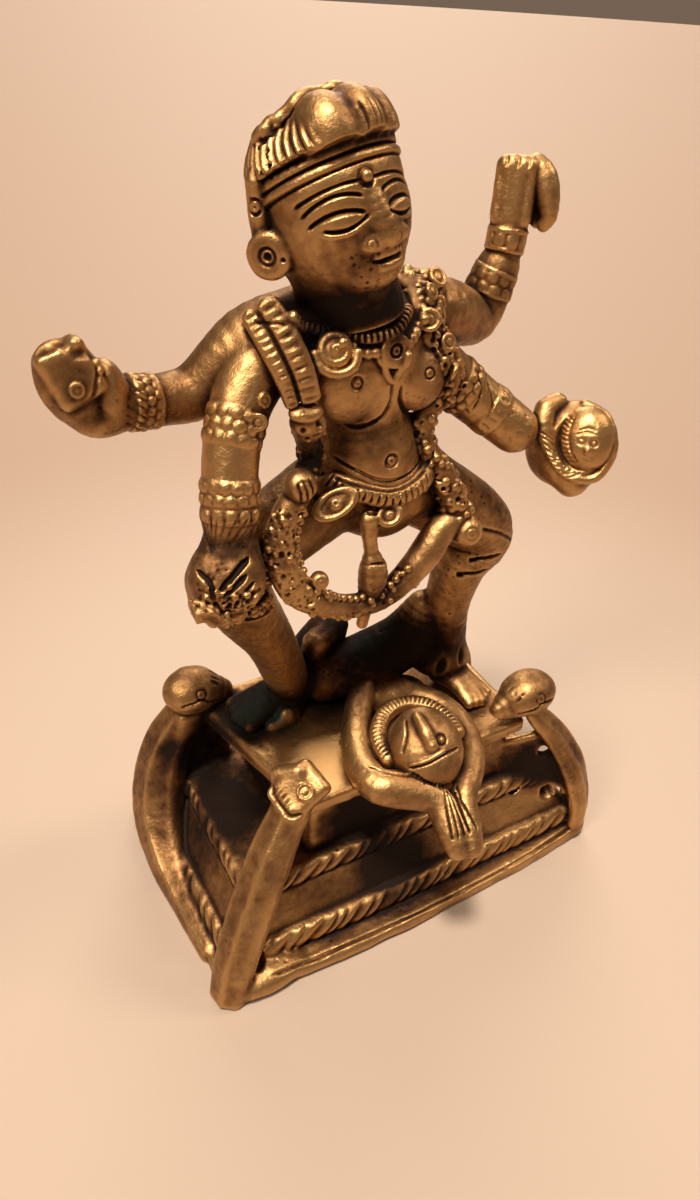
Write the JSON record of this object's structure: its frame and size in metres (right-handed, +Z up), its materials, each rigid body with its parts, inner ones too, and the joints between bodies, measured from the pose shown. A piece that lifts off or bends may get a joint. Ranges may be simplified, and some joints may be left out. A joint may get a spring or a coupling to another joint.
{
  "type": "kali figurine",
  "caption": "Small cast-brass four-armed goddess striding over a lying devotee, on a stepped pedestal with rope mouldings and corner straps that end in birds' heads.",
  "frame": {"origin": "middle of the pedestal's flat underside", "axes": "+Z up, the goddess faces -Y, and the pedestal's long side runs along X"},
  "size_m": [0.0822, 0.0559, 0.122],
  "materials": {
    "aged_brass": "aged cast brass, worn bright on the high places and dark in the hollows"
  },
  "bodies": {
    "root": {"kali_figure": "aged_brass", "pedestal": "aged_brass"}
  },
  "joints": []
}
